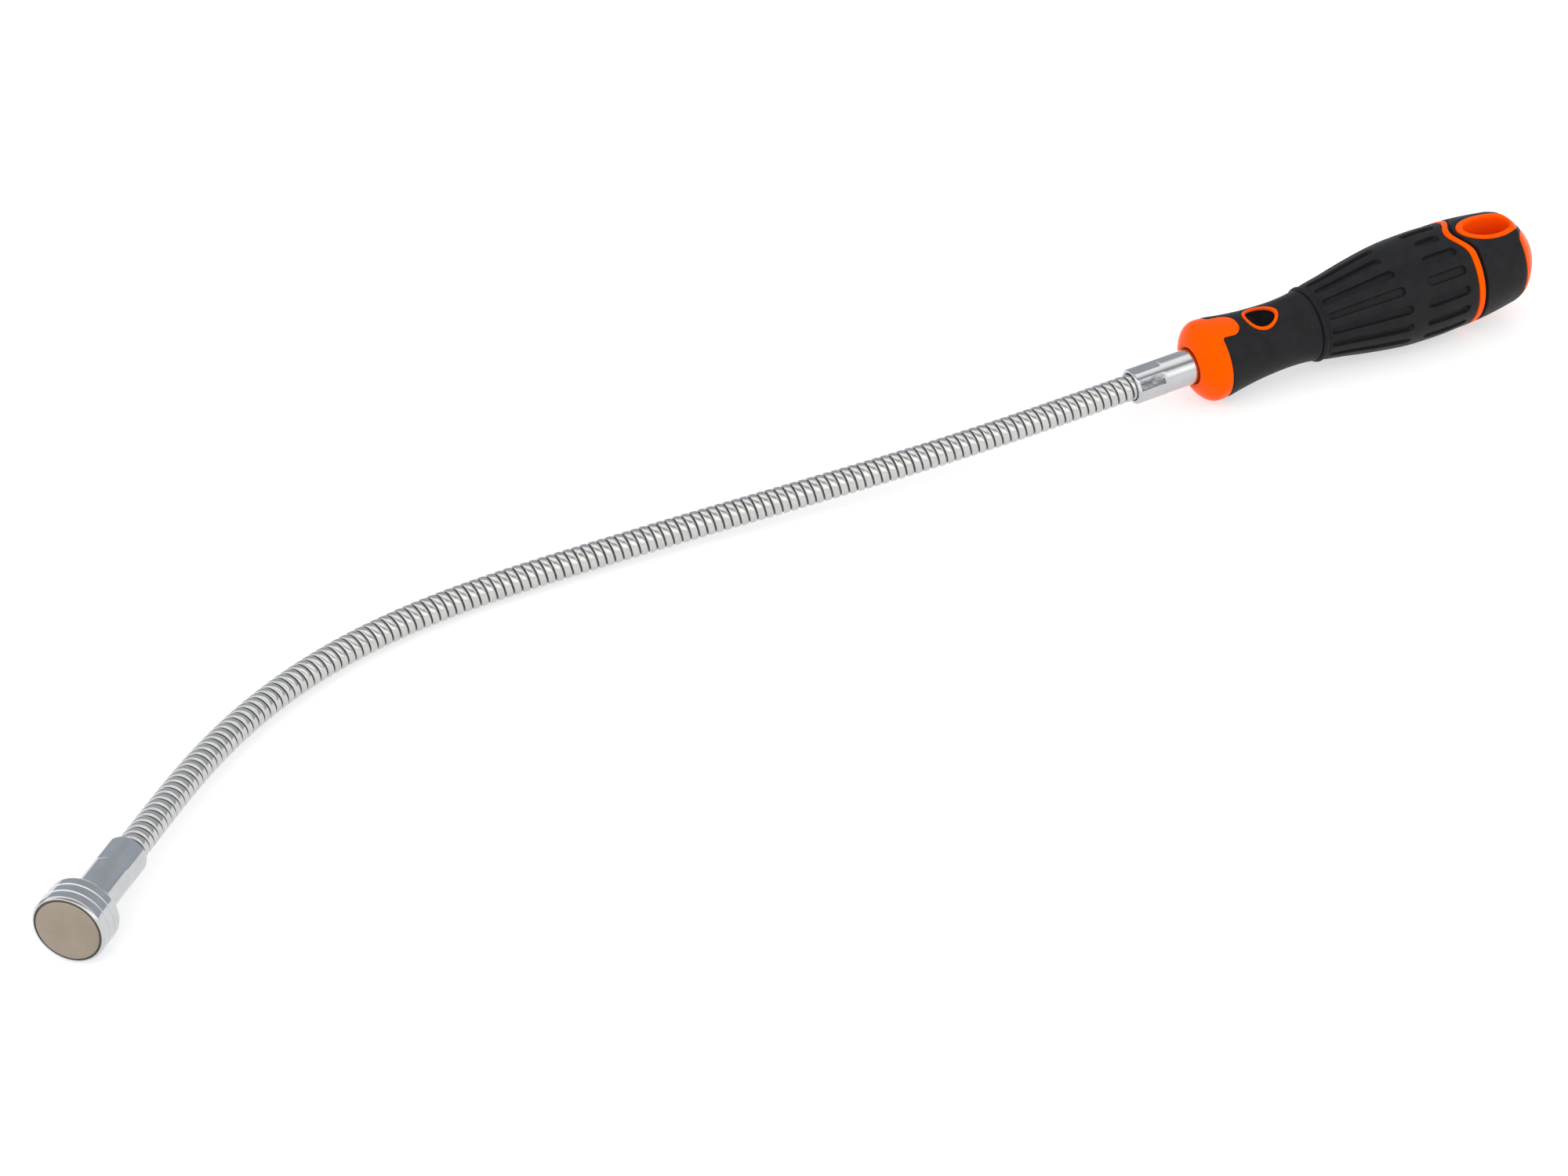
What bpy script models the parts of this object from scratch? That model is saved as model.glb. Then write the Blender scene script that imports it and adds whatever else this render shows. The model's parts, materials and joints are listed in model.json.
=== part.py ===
"""Flexible magnetic pickup tool, lying at rest on a flat floor.

A moulded handle holds a chrome ferrule, a bendable gooseneck runs from the ferrule to the head,
and a disc magnet sits in a chrome cup at the far end. Lengths below are in millimetres, angles in
degrees. Handle stations are measured along the handle's axis from the start of the straight shaft.
"""

import math

import bmesh
import bpy
from mathutils import Matrix, Vector

MM = 0.001
TAU = 2.0 * math.pi
TOUCHING_GAP = 0.3          # clearance left between pieces that touch

# Handle
HANDLE_SLOPE = 3.05         # the handle lies on its nose ring and its belly, so its axis rises
AXIS_HEIGHT = 11.43         # height of the handle's axis over the floor at station 0
HOLE_ROLL = 12.5            # how far the hanging hole's axis leans from upright
HANDLE_SEGMENTS = 36
NOSE_FACE_X = 26.0
NOSE_CREST_X = 31.7
NOSE_RING_END_X = 34.0
LIP_X = 67.5
RIB_START_X = 121.3
RIB_END_X = 123.5
REAR_GRIP_START_X = 124.4
REAR_GRIP_END_X = 140.6
BUTT_START_X = 140.9
BUTT_TIP_X = 150.9
BUTT_RADIUS = 14.6
BUTT_POWER = 1.3            # 2 would be round, 1 a cone
NOSE_RADIUS = 13.05
NOSE_ROOT_RADIUS = 6.9
FERRULE_SOCKET_DEPTH = 4.1
SHANK_SOCKET_END_X = 95.0

# Outer radius of the handle at hand-picked stations, as (station, radius)
HANDLE_STATIONS = (
    (31.7, 13.05), (35.0, 12.9), (40.0, 12.1), (46.0, 11.35), (52.0, 10.93), (58.0, 10.78),
    (63.0, 11.0), (66.9, 11.5), (72.0, 12.5), (78.0, 13.5), (85.0, 14.85), (92.0, 16.0),
    (98.0, 16.8), (104.0, 17.2), (111.0, 17.33), (117.0, 17.12), (124.0, 16.9), (129.0, 16.5),
    (134.0, 15.9), (137.0, 15.45), (139.0, 15.15), (140.9, 14.6),
)
# Radius of the orange core where a grip covers it
CORE_STATIONS = (
    (33.6, 8.5), (60.0, 8.5), (68.0, 8.5), (78.0, 10.4), (90.0, 12.4), (104.0, 13.4),
    (121.3, 13.3), (124.4, 13.2), (130.0, 13.0), (136.0, 12.4), (140.9, 11.4),
)

# The rib and the grips beside it dip forward around the hanging hole, and the rear edge bulges back
DIP_DEPTH = 3.8
DIP_HALF_ANGLE = 32.0
DIP_FADE_START_X = 110.0
DIP_FULL_START_X = 120.0
DIP_FULL_END_X = 124.5
DIP_FADE_END_X = 132.0
BULGE_DEPTH = 5.9
BULGE_HALF_ANGLE = 36.0
BULGE_START_X = 132.0

# Hanging hole, thumb tab and window, each lying across the handle's own upward direction
HOLE_CENTRE_X = 133.2
HOLE_OUTER = (11.1, 6.1)
HOLE_INNER = (8.4, 4.3)
WINDOW_CENTRE_X = 50.7
WINDOW_OUTER = (5.85, 5.4)
WINDOW_POCKET = (4.4, 4.0)
WINDOW_FLOOR_Z = 8.9
INSERT_TOP_Z = 10.3
TAB_START_X = 33.0
TAB_END_X = 41.8
TAB_HALF_WIDTH = 4.9
TAB_CORNER = 4.1
OVAL_POWER = 2.05
OVAL_POINTS = 28
BURIED_STEP = 0.02          # a boss's skin sits this far under the grip's, so no faces coincide

# Ferrule and shank
FERRULE_FRONT_X = 5.06
FERRULE_REAR_X = 29.7
FERRULE_RADIUS = 5.65
FERRULE_CHAMFER = 0.5
FLAT_DISTANCE = 5.36        # from the axis to each of the six crimped flats
FLAT_COUNT = 6
FLAT_START = 0.9            # from the ferrule's or head's mouth
FLAT_END = 10.4
FERRULE_ROLL = -4.5
NECK_SOCKET_RADIUS = 4.6
NECK_SOCKET_DEPTH = 15.0
SHANK_RADIUS = 3.2
SHANK_START_X = 22.9
SHANK_END_X = 94.6
SHANK_SOCKET_RADIUS = 3.5

# Gooseneck
NECK_RADIUS = 4.2
NECK_ARC = 357.0            # arc from station 0 to the head's mouth
JOINT_COUNT = 20
JOINT_SPACING = (NECK_ARC + FERRULE_FRONT_X) / JOINT_COUNT
FIRST_JOINT_ARC = JOINT_SPACING / 2.0 - FERRULE_FRONT_X
SOCKET_RADIUS = 4.45        # spherical pocket that the next link's dome turns in
WRAP_INNER_RADIUS = 3.4
SPRING_OUTER_RADIUS = 3.2
SPRING_INNER_RADIUS = 1.9
STUB_LENGTH = 14.0          # length of the gooseneck pushed into the ferrule and into the head
WRAP_SEGMENTS = 16
SPRING_SEGMENTS = 12
DOME_STEPS = 2

# Path of the gooseneck: it sags sideways a little, then bows round toward the head
BOW_ANGLE = 51.2
BOW_START_ARC = 177.3
BOW_END_ARC = 347.2
DRIFT_ANGLE = -4.2
DRIFT_END_ARC = 203.9
HEAD_TILT = 3.2             # the last stretch rises this much, so the head lies on its rim
RISE_POWER = 1.464
ARC_STEP = 0.5

# Head, measured from the mouth that takes the gooseneck
HEAD_SEGMENTS = 36
HEAD_NECK_RADIUS = 5.65
HEAD_NECK_LENGTH = 24.4
HEAD_ROLL = 13.4
CUP_RADIUS = 9.88
CUP_RIM = 33.7
CUP_BORE_RADIUS = 9.1
CUP_FLOOR = 28.4
MAGNET_RADIUS = 8.6
MAGNET_BACK = 28.7
MAGNET_FACE = 33.9
MAGNET_CHAMFER = 0.3
SLEEVE_INNER_RADIUS = 8.7
SLEEVE_OUTER_RADIUS = 9.0
SLEEVE_END = 33.5


def clear_scene():
    for item in list(bpy.data.objects):
        bpy.data.objects.remove(item, do_unlink=True)


def make_material(name, colour, metallic, roughness):
    material = bpy.data.materials.new(name)
    material.use_nodes = True
    shader = material.node_tree.nodes["Principled BSDF"]
    shader.inputs["Base Color"].default_value = (*colour, 1.0)
    shader.inputs["Metallic"].default_value = metallic
    shader.inputs["Roughness"].default_value = roughness
    return material


def clamp(value):
    return max(0.0, min(1.0, value))


def curve_through(stations, x):
    """Height at x of the smooth curve through the stations."""
    last = len(stations) - 2
    index = 0
    while index < last and x > stations[index + 1][0]:
        index += 1
    before = stations[max(index - 1, 0)]
    start = stations[index]
    end = stations[index + 1]
    after = stations[min(index + 2, len(stations) - 1)]
    span = end[0] - start[0]
    t = clamp((x - start[0]) / span)
    slope_start = (end[1] - before[1]) / (end[0] - before[0]) * span
    slope_end = (after[1] - start[1]) / (after[0] - start[0]) * span
    return (
        (2 * t**3 - 3 * t**2 + 1) * start[1]
        + (t**3 - 2 * t**2 + t) * slope_start
        + (3 * t**2 - 2 * t**3) * end[1]
        + (t**3 - t**2) * slope_end
    )


def butt_radius(x):
    """Blunt rear end of the handle."""
    reach = clamp((x - BUTT_START_X) / (BUTT_TIP_X - BUTT_START_X))
    return BUTT_RADIUS * (1.0 - reach**BUTT_POWER) ** (1.0 / BUTT_POWER)


def handle_radius(x):
    return curve_through(HANDLE_STATIONS, x) if x < BUTT_START_X else butt_radius(x)


def core_radius(x):
    return curve_through(CORE_STATIONS, x)


def nose_radius(x):
    """Rounded front of the nose ring."""
    reach = (NOSE_CREST_X - x) / (NOSE_CREST_X - NOSE_FACE_X + 0.1)
    return NOSE_ROOT_RADIUS + (NOSE_RADIUS - NOSE_ROOT_RADIUS) * (1.0 - reach**2) ** 0.85


def spread(start, end, count):
    return [start + (end - start) * i / (count - 1) for i in range(count)]


def near_hole(angle, half_angle):
    """1 in line with either mouth of the hanging hole, falling to 0 at half_angle beside it."""
    away = min(angle, TAU - angle, abs(math.pi - angle)) / math.radians(half_angle)
    return math.cos(min(away, 1.0) * math.pi / 2.0) ** 2


def dip_shift(x, angle):
    """How far a point of the rear part of the handle moves forward around the hole."""
    if x < DIP_FULL_START_X:
        weight = clamp((x - DIP_FADE_START_X) / (DIP_FULL_START_X - DIP_FADE_START_X))
    else:
        weight = clamp((DIP_FADE_END_X - x) / (DIP_FADE_END_X - DIP_FULL_END_X))
    return -DIP_DEPTH * weight * near_hole(angle, DIP_HALF_ANGLE)


def bulge_shift(x, angle):
    """How far the rear grip's back edge, and the butt behind it, move back past the hole."""
    if x < REAR_GRIP_END_X:
        weight = clamp((x - BULGE_START_X) / (REAR_GRIP_END_X - BULGE_START_X))
    else:
        weight = clamp((BUTT_TIP_X - x) / (BUTT_TIP_X - BUTT_START_X))
    return BULGE_DEPTH * weight * near_hole(angle, BULGE_HALF_ANGLE)


def dipped(x, radius, angle):
    """Moves a point along the handle's skin, keeping its share of the skin's radius."""
    moved = x + dip_shift(x, angle) + bulge_shift(x, angle)
    return moved, radius * handle_radius(moved) / handle_radius(x)


def flattened(mouth):
    """Shape function that presses six flats into a round tube near its mouth."""
    def shape(x, radius, angle):
        along = x - mouth
        if radius > FLAT_DISTANCE and FLAT_START <= along <= FLAT_END:
            step = TAU / FLAT_COUNT
            away = (angle + step / 2.0) % step - step / 2.0
            radius = min(radius, FLAT_DISTANCE / math.cos(away))
        return x, radius
    return shape


def turned(name, outline, segments, shape=None):
    """Solid of revolution about X. An outline that ends off the axis closes on itself."""
    bm = bmesh.new()
    rings = []
    for x, radius in outline:
        if radius == 0.0:
            rings.append([bm.verts.new(Vector((x, 0.0, 0.0)) * MM)])
            continue
        ring = []
        for i in range(segments):
            angle = TAU * i / segments
            px, pr = shape(x, radius, angle) if shape else (x, radius)
            point = Vector((px, -pr * math.sin(angle), pr * math.cos(angle)))
            ring.append(bm.verts.new(point * MM))
        rings.append(ring)
    pairs = list(zip(rings, rings[1:]))
    if len(rings[0]) > 1:
        pairs.append((rings[-1], rings[0]))
    for first, second in pairs:
        for i in range(segments):
            j = (i + 1) % segments
            corners = [first[i % len(first)], first[j % len(first)],
                       second[j % len(second)], second[i % len(second)]]
            bm.faces.new(list(dict.fromkeys(corners)))
    return finish_mesh(name, bm)


def prism(name, outline, low, high):
    """Straight prism along Z over a flat outline of (x, y) points."""
    bm = bmesh.new()
    bottom = [bm.verts.new(Vector((x, y, low)) * MM) for x, y in outline]
    top = [bm.verts.new(Vector((x, y, high)) * MM) for x, y in outline]
    bm.faces.new(list(reversed(bottom)))
    bm.faces.new(top)
    for i in range(len(outline)):
        j = (i + 1) % len(outline)
        bm.faces.new([bottom[i], bottom[j], top[j], top[i]])
    return finish_mesh(name, bm)


def finish_mesh(name, bm):
    bmesh.ops.recalc_face_normals(bm, faces=bm.faces)
    mesh = bpy.data.meshes.new(name)
    bm.to_mesh(mesh)
    bm.free()
    mesh.shade_smooth()
    mesh.set_sharp_from_angle(angle=math.radians(35.0))
    return mesh


def oval(centre_x, half_sizes, grow=0.0):
    points = []
    for i in range(OVAL_POINTS):
        angle = TAU * (i + 0.5) / OVAL_POINTS
        cosine = math.cos(angle)
        sine = math.sin(angle)
        scale = (abs(cosine) ** OVAL_POWER + abs(sine) ** OVAL_POWER) ** (-1.0 / OVAL_POWER)
        x = centre_x + (half_sizes[0] + grow) * cosine * scale
        points.append((x, (half_sizes[1] + grow) * sine * scale))
    return points


def tab_outline(grow=0.0):
    """Tongue that reaches back from the nose ring, with two rounded corners."""
    width = TAB_HALF_WIDTH + grow
    end = TAB_END_X + grow
    points = [(TAB_START_X, -width)]
    for side in (-1.0, 1.0):
        for step in range(5):
            angle = math.radians(22.5 * step)
            turn = math.pi / 2.0 - angle if side < 0.0 else angle
            x = end - TAB_CORNER + TAB_CORNER * math.cos(turn)
            y = side * (width - TAB_CORNER + TAB_CORNER * math.sin(turn))
            points.append((x, y))
    points.append((TAB_START_X, width))
    return points


class Tool:
    """Collects the pieces and remembers where each one stands."""

    def __init__(self):
        self.root = bpy.data.objects.new("tool_frame", None)
        bpy.context.collection.objects.link(self.root)
        self.places = {self.root: Matrix.Identity(4)}

    def add(self, name, mesh, place, material, parent=None):
        item = bpy.data.objects.new(name, mesh)
        bpy.context.collection.objects.link(item)
        mesh.materials.append(material)
        item.parent = parent or self.root
        item.matrix_basis = self.places[item.parent].inverted() @ place
        self.places[item] = place
        return item

    def add_cutter(self, name, mesh, place, material):
        item = self.add(name, mesh, place, material)
        item.hide_render = True
        item.display_type = 'WIRE'
        return item

    def stand_on_floor(self):
        """Moves the tool so that the world origin is under the middle of its bounding box."""
        corners = []
        for item, place in self.places.items():
            if item.type == 'MESH' and not item.hide_render:
                corners += [place @ vertex.co for vertex in item.data.vertices]
        low = Vector([min(corner[k] for corner in corners) for k in range(3)])
        high = Vector([max(corner[k] for corner in corners) for k in range(3)])
        self.root.location = (-(low.x + high.x) / 2.0, -(low.y + high.y) / 2.0, -low.z)


def combine(item, operation, tool_piece):
    modifier = item.modifiers.new(operation.title(), 'BOOLEAN')
    modifier.operation = operation
    modifier.solver = 'EXACT'
    modifier.object = tool_piece


def handle_place():
    place = Matrix.Translation(Vector((0.0, 0.0, AXIS_HEIGHT * MM)))
    place @= Matrix.Rotation(-math.radians(HANDLE_SLOPE), 4, 'Y')
    return place @ Matrix.Rotation(math.radians(HOLE_ROLL), 4, 'X')


def core_outline():
    butt = [(x, butt_radius(x)) for x in (150.3, 149.2, 147.2, 144.6, 142.4, BUTT_START_X)]
    under_rear = [(x, core_radius(x)) for x in (BUTT_START_X, 136.5, 132.5, 128.5, RIB_END_X)]
    rib = [(RIB_END_X, handle_radius(RIB_END_X)), (RIB_START_X, handle_radius(RIB_START_X))]
    under_main = [(x, core_radius(x)) for x in (RIB_START_X, 104.0, 90.0, 78.0, 68.0)]
    under_front = [(x, core_radius(x)) for x in (50.0, NOSE_RING_END_X)]
    ring = [(NOSE_RING_END_X, handle_radius(NOSE_RING_END_X))]
    nose = [(x, nose_radius(x)) for x in (NOSE_CREST_X, 30.1, 28.6, 27.4, 26.5, NOSE_FACE_X)]
    socket_radius = FERRULE_RADIUS + TOUCHING_GAP
    socket_end = NOSE_FACE_X + FERRULE_SOCKET_DEPTH
    bore = [(NOSE_FACE_X, socket_radius), (socket_end, socket_radius),
            (socket_end, SHANK_SOCKET_RADIUS), (SHANK_SOCKET_END_X, SHANK_SOCKET_RADIUS)]
    outline = [(BUTT_TIP_X, 0.0)] + butt + under_rear + rib + under_main + under_front
    return outline + ring + nose + bore + [(SHANK_SOCKET_END_X, 0.0)]


def sleeve_outline(start, end, outer_count, inner_count):
    """Grip moulded over the core: outer skin one way, inner skin back."""
    outer = [(x, handle_radius(x)) for x in spread(start, end, outer_count)]
    inner = [(x, core_radius(x) + TOUCHING_GAP) for x in spread(end, start, inner_count)]
    return outer + inner


def build_handle(tool, materials):
    place = handle_place()
    orange, rubber = materials["orange_plastic"], materials["black_grip"]

    skin_start, skin_end = 32.0, 147.0
    skin = [(x, handle_radius(x) - BURIED_STEP) for x in spread(skin_start, skin_end, 40)]
    skin_body = tool.add_cutter(
        "skin_guide", turned("skin_guide", [(skin_start, 0.0)] + skin + [(skin_end, 0.0)],
                             HANDLE_SEGMENTS), place, orange)

    def boss(name, outline, low, high):
        item = tool.add_cutter(name, prism(name, outline, low, high), place, orange)
        combine(item, 'INTERSECT', skin_body)
        return item

    def cutter(name, outline, low, high):
        return tool.add_cutter(name, prism(name, outline, low, high), place, orange)

    core = tool.add("handle_core", turned("handle_core", core_outline(), HANDLE_SEGMENTS, dipped),
                    place, orange)
    combine(core, 'UNION', boss("tab_boss", tab_outline(), 6.0, 20.0))
    combine(core, 'UNION', boss("window_boss", oval(WINDOW_CENTRE_X, WINDOW_OUTER), 6.0, 20.0))
    combine(core, 'UNION', boss("hole_boss", oval(HOLE_CENTRE_X, HOLE_OUTER), -25.0, 25.0))
    combine(core, 'DIFFERENCE',
            cutter("hole_cut", oval(HOLE_CENTRE_X, HOLE_INNER), -30.0, 30.0))
    combine(core, 'DIFFERENCE',
            cutter("pocket_cut", oval(WINDOW_CENTRE_X, WINDOW_POCKET), WINDOW_FLOOR_Z, 25.0))

    front = tool.add(
        "front_grip",
        turned("front_grip", sleeve_outline(NOSE_RING_END_X + TOUCHING_GAP,
                                            LIP_X - TOUCHING_GAP, 9, 2), HANDLE_SEGMENTS),
        place, rubber, core)
    combine(front, 'DIFFERENCE',
            cutter("tab_relief", tab_outline(TOUCHING_GAP), 2.0, 24.0))
    combine(front, 'DIFFERENCE',
            cutter("window_relief", oval(WINDOW_CENTRE_X, WINDOW_OUTER, TOUCHING_GAP), 2.0, 24.0))

    main_outline = sleeve_outline(LIP_X, RIB_START_X - TOUCHING_GAP, 11, 6)
    main_outline[0] = (LIP_X, handle_radius(LIP_X) + 0.2)
    main_outline.insert(1, (LIP_X + 0.5, handle_radius(LIP_X) + 0.5))
    tool.add("main_grip", turned("main_grip", main_outline, HANDLE_SEGMENTS, dipped),
             place, rubber, core)

    rear = tool.add(
        "rear_grip",
        turned("rear_grip", sleeve_outline(REAR_GRIP_START_X, REAR_GRIP_END_X, 8, 5),
               HANDLE_SEGMENTS, dipped),
        place, rubber, core)
    combine(rear, 'DIFFERENCE',
            cutter("hole_relief", oval(HOLE_CENTRE_X, HOLE_OUTER, TOUCHING_GAP), -30.0, 30.0))

    insert = prism("window_insert", oval(WINDOW_CENTRE_X, WINDOW_POCKET, -TOUCHING_GAP),
                   WINDOW_FLOOR_Z + TOUCHING_GAP, INSERT_TOP_Z)
    tool.add("window_insert", insert, place, materials["black_gloss"], core)
    return core


def build_ferrule(tool, materials, core):
    roll = Matrix.Rotation(math.radians(FERRULE_ROLL), 4, 'X')
    place = handle_place() @ roll
    front = FERRULE_FRONT_X
    flats = [(front + along, FERRULE_RADIUS)
             for along in (FERRULE_CHAMFER, FLAT_START, FLAT_END, FLAT_END + 0.5)]
    outline = [
        (front + NECK_SOCKET_DEPTH, 0.0),
        (front + NECK_SOCKET_DEPTH, NECK_SOCKET_RADIUS),
        (front, NECK_SOCKET_RADIUS),
        (front, FERRULE_RADIUS - FERRULE_CHAMFER),
    ] + flats + [
        (FERRULE_REAR_X, FERRULE_RADIUS),
        (FERRULE_REAR_X, SHANK_RADIUS + TOUCHING_GAP / 2.0),
        (SHANK_START_X - TOUCHING_GAP, SHANK_RADIUS + TOUCHING_GAP / 2.0),
        (SHANK_START_X - TOUCHING_GAP, 0.0),
    ]
    mesh = turned("ferrule", outline, HANDLE_SEGMENTS, flattened(front))
    tool.add("ferrule", mesh, place, materials["chrome"], core)

    rod = [(SHANK_START_X, 0.0), (SHANK_START_X, SHANK_RADIUS), (SHANK_END_X - 1.0, SHANK_RADIUS),
           (SHANK_END_X, SHANK_RADIUS - 1.0), (SHANK_END_X, 0.0)]
    tool.add("shank", turned("shank", rod, SPRING_SEGMENTS * 2), place, materials["steel"], core)


def neck_direction(arc):
    """Direction of travel toward the head at an arc length from station 0."""
    if arc <= 0.0:
        heading = 0.0
        climb = -math.radians(HANDLE_SLOPE)
    else:
        t = clamp((arc - BOW_START_ARC) / (BOW_END_ARC - BOW_START_ARC))
        heading = math.radians(BOW_ANGLE) * t * t * (3.0 - 2.0 * t)
        if arc < DRIFT_END_ARC:
            drift = math.sin(math.pi * arc / DRIFT_END_ARC) ** 2
            heading += math.radians(DRIFT_ANGLE) * drift
        total = math.radians(HEAD_TILT + HANDLE_SLOPE)
        climb = -math.radians(HANDLE_SLOPE) + total * min(arc / NECK_ARC, 1.0) ** RISE_POWER
    return Vector((-math.cos(climb) * math.cos(heading),
                   -math.cos(climb) * math.sin(heading),
                   math.sin(climb)))


def neck_point(arc):
    point = Vector((0.0, 0.0, AXIS_HEIGHT))
    if arc <= 0.0:
        return point + neck_direction(0.0) * arc
    steps = max(1, round(arc / ARC_STEP))
    length = arc / steps
    for i in range(steps):
        point += neck_direction((i + 0.5) * length) * length
    return point


def place_along(point, direction):
    """Frame at a point, with X along the direction and Z as near to upright as it gets."""
    x_axis = direction.normalized()
    y_axis = Vector((0.0, 0.0, 1.0)).cross(x_axis).normalized()
    z_axis = x_axis.cross(y_axis)
    turn = Matrix((x_axis, y_axis, z_axis)).transposed().to_4x4()
    return Matrix.Translation(point * MM) @ turn


def on_sphere(radius, centre_x, height):
    return centre_x - math.sqrt(radius * radius - height * height)


def link_outline(start, end, outer, inner, domed, pocketed):
    """Tube from start to end, with a dome about its start and a pocket about its end."""
    heights = spread(inner, outer, DOME_STEPS + 1)
    if domed:
        head = [(on_sphere(NECK_RADIUS, start, height), height) for height in heights]
    else:
        head = [(start, inner), (start, outer)]
    if pocketed:
        tail = [(on_sphere(SOCKET_RADIUS, end, height), height) for height in reversed(heights)]
    else:
        tail = [(end, outer), (end, inner)]
    return head + tail


def build_neck(tool, materials, core):
    """Links 1 to 19 turn on the joint at their own origin; the end links are held fast."""
    pivots = [neck_point(FIRST_JOINT_ARC + JOINT_SPACING * i) for i in range(JOINT_COUNT)]
    head_mouth = neck_point(NECK_ARC)
    start_length = (pivots[0] - neck_point(-FERRULE_FRONT_X)).length + STUB_LENGTH
    parent = core
    for number in range(JOINT_COUNT + 1):
        first = number == 0
        last = number == JOINT_COUNT
        if first:
            origin = pivots[0] - neck_direction(0.0) * start_length
            ahead = pivots[0]
        elif last:
            origin = pivots[-1]
            ahead = head_mouth
        else:
            origin = pivots[number - 1]
            ahead = pivots[number]
        direction = neck_direction(NECK_ARC) if last else ahead - origin
        length = (ahead - origin).length + (STUB_LENGTH if last else 0.0)
        place = place_along(origin, direction)
        wrap = link_outline(0.0, length, NECK_RADIUS, WRAP_INNER_RADIUS, not first, not last)
        spring = link_outline(0.0, length, SPRING_OUTER_RADIUS, SPRING_INNER_RADIUS,
                              not first, not last)
        wrap_name = f"neck_wrap_{number:02d}"
        spring_name = f"neck_spring_{number:02d}"
        link = tool.add(wrap_name, turned(wrap_name, wrap, WRAP_SEGMENTS), place,
                        materials["steel"], parent)
        tool.add(spring_name, turned(spring_name, spring, SPRING_SEGMENTS), place,
                 materials["steel"], link)
        parent = link
    return parent


def build_head(tool, materials, last_link):
    direction = neck_direction(NECK_ARC)
    place = place_along(neck_point(NECK_ARC), direction)
    place @= Matrix.Rotation(math.radians(HEAD_ROLL), 4, 'X')
    radius = HEAD_NECK_RADIUS
    flats = [(along, radius) for along in (FERRULE_CHAMFER, FLAT_START, FLAT_END, FLAT_END + 0.5)]
    outline = [
        (NECK_SOCKET_DEPTH, 0.0),
        (NECK_SOCKET_DEPTH, NECK_SOCKET_RADIUS),
        (0.0, NECK_SOCKET_RADIUS),
        (0.0, radius - FERRULE_CHAMFER),
    ] + flats + [
        (HEAD_NECK_LENGTH - 0.5, radius),
        (HEAD_NECK_LENGTH, radius + 0.5),
        (HEAD_NECK_LENGTH, CUP_RADIUS - 1.0),
        (HEAD_NECK_LENGTH + 0.4, CUP_RADIUS - 0.3),
        (HEAD_NECK_LENGTH + 1.2, CUP_RADIUS),
        (CUP_RIM - 0.7, CUP_RADIUS),
        (CUP_RIM, CUP_RADIUS - 0.4),
        (CUP_RIM, CUP_BORE_RADIUS),
        (CUP_FLOOR, CUP_BORE_RADIUS),
        (CUP_FLOOR, 0.0),
    ]
    cup = tool.add("magnet_cup", turned("magnet_cup", outline, HEAD_SEGMENTS, flattened(0.0)),
                   place, materials["chrome"], last_link)

    sleeve = [(MAGNET_BACK, SLEEVE_INNER_RADIUS), (MAGNET_BACK, SLEEVE_OUTER_RADIUS),
              (SLEEVE_END, SLEEVE_OUTER_RADIUS), (SLEEVE_END, SLEEVE_INNER_RADIUS)]
    tool.add("magnet_sleeve", turned("magnet_sleeve", sleeve, HEAD_SEGMENTS), place,
             materials["black_gloss"], cup)

    disc = [(MAGNET_BACK, 0.0), (MAGNET_BACK, MAGNET_RADIUS),
            (MAGNET_FACE - MAGNET_CHAMFER, MAGNET_RADIUS),
            (MAGNET_FACE, MAGNET_RADIUS - MAGNET_CHAMFER), (MAGNET_FACE, 0.0)]
    tool.add("magnet", turned("magnet", disc, HEAD_SEGMENTS), place, materials["nickel"], cup)


def build_tool():
    clear_scene()
    materials = {
        "orange_plastic": make_material("orange_plastic", (1.0, 0.14, 0.0), 0.0, 0.25),
        "black_grip": make_material("black_grip", (0.02, 0.02, 0.022), 0.0, 0.6),
        "black_gloss": make_material("black_gloss", (0.01, 0.01, 0.01), 0.0, 0.15),
        "chrome": make_material("chrome", (0.75, 0.76, 0.78), 1.0, 0.15),
        "steel": make_material("steel", (0.62, 0.62, 0.62), 1.0, 0.3),
        "nickel": make_material("nickel", (0.3, 0.26, 0.2), 0.8, 0.4),
    }
    tool = Tool()
    core = build_handle(tool, materials)
    build_ferrule(tool, materials, core)
    last_link = build_neck(tool, materials, core)
    build_head(tool, materials, last_link)
    tool.stand_on_floor()


build_tool()
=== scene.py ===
"""Flexible magnetic pickup tool: the visual model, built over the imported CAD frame."""

import json
import math

import bmesh
import bpy
import numpy as np
from mathutils import Matrix, Vector


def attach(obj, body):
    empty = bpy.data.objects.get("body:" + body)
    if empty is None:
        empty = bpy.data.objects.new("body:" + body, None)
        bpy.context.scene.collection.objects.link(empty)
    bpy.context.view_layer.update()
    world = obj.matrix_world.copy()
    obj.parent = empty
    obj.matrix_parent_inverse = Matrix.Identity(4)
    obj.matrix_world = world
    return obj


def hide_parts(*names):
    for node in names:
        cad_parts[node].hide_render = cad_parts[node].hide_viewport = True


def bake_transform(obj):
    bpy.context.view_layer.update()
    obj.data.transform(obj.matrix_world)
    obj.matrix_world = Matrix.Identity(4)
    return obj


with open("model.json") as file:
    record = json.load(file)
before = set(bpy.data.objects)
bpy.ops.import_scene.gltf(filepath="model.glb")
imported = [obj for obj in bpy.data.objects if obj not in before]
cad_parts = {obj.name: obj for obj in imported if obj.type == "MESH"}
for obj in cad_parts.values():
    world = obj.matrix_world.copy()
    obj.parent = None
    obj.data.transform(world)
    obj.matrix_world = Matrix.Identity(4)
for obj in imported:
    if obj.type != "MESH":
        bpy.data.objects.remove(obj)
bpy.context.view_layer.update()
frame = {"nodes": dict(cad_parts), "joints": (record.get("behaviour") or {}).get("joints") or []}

MM = 0.001
TAU = 2.0 * math.pi

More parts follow.
